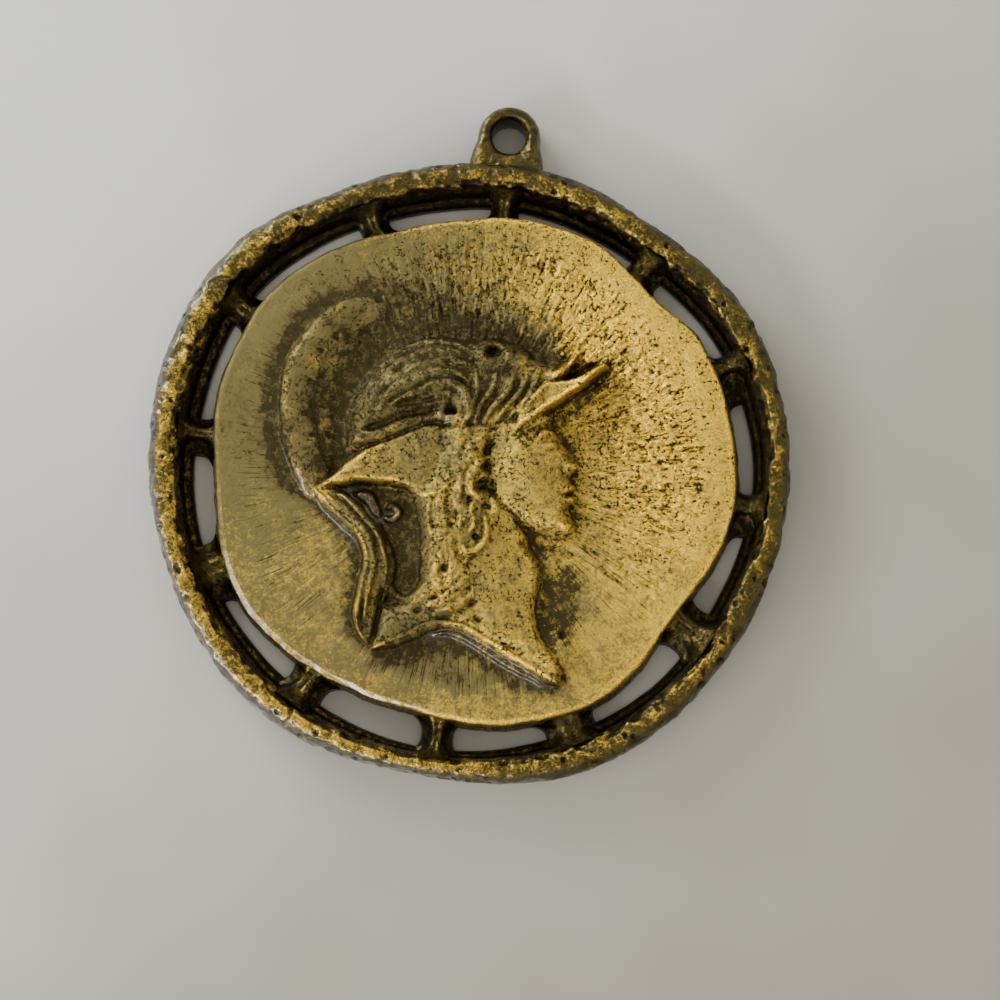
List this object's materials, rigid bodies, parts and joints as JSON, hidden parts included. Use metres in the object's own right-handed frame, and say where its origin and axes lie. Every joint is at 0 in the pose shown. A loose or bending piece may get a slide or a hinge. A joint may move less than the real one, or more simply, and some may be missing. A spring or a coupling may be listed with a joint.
{
  "type": "pendant medallion",
  "caption": "Cast brass pendant medallion: a relief coin with a helmeted head, held by bridges inside an uneven open ring with a hanging eye.",
  "frame": {"origin": "middle of the coin, on the flat back", "axes": "+Z out of the front face, +Y from the coin's middle to the eye"},
  "size_m": [0.0615, 0.0655, 0.005],
  "materials": {
    "coin_brass": "satin antique brass, dark toned recesses, worn bright high spots",
    "ring_brass": "pitted cast brass, glossy, black toned pits"
  },
  "bodies": {
    "root": {"coin": "coin_brass", "outer_ring": "ring_brass", "bail": "ring_brass", "bridge_01": "ring_brass", "bridge_02": "ring_brass", "bridge_03": "ring_brass", "bridge_04": "ring_brass", "bridge_05": "ring_brass", "bridge_06": "ring_brass", "bridge_07": "ring_brass", "bridge_08": "ring_brass", "bridge_09": "ring_brass", "bridge_10": "ring_brass", "bridge_11": "ring_brass", "bridge_12": "ring_brass"}
  },
  "joints": []
}
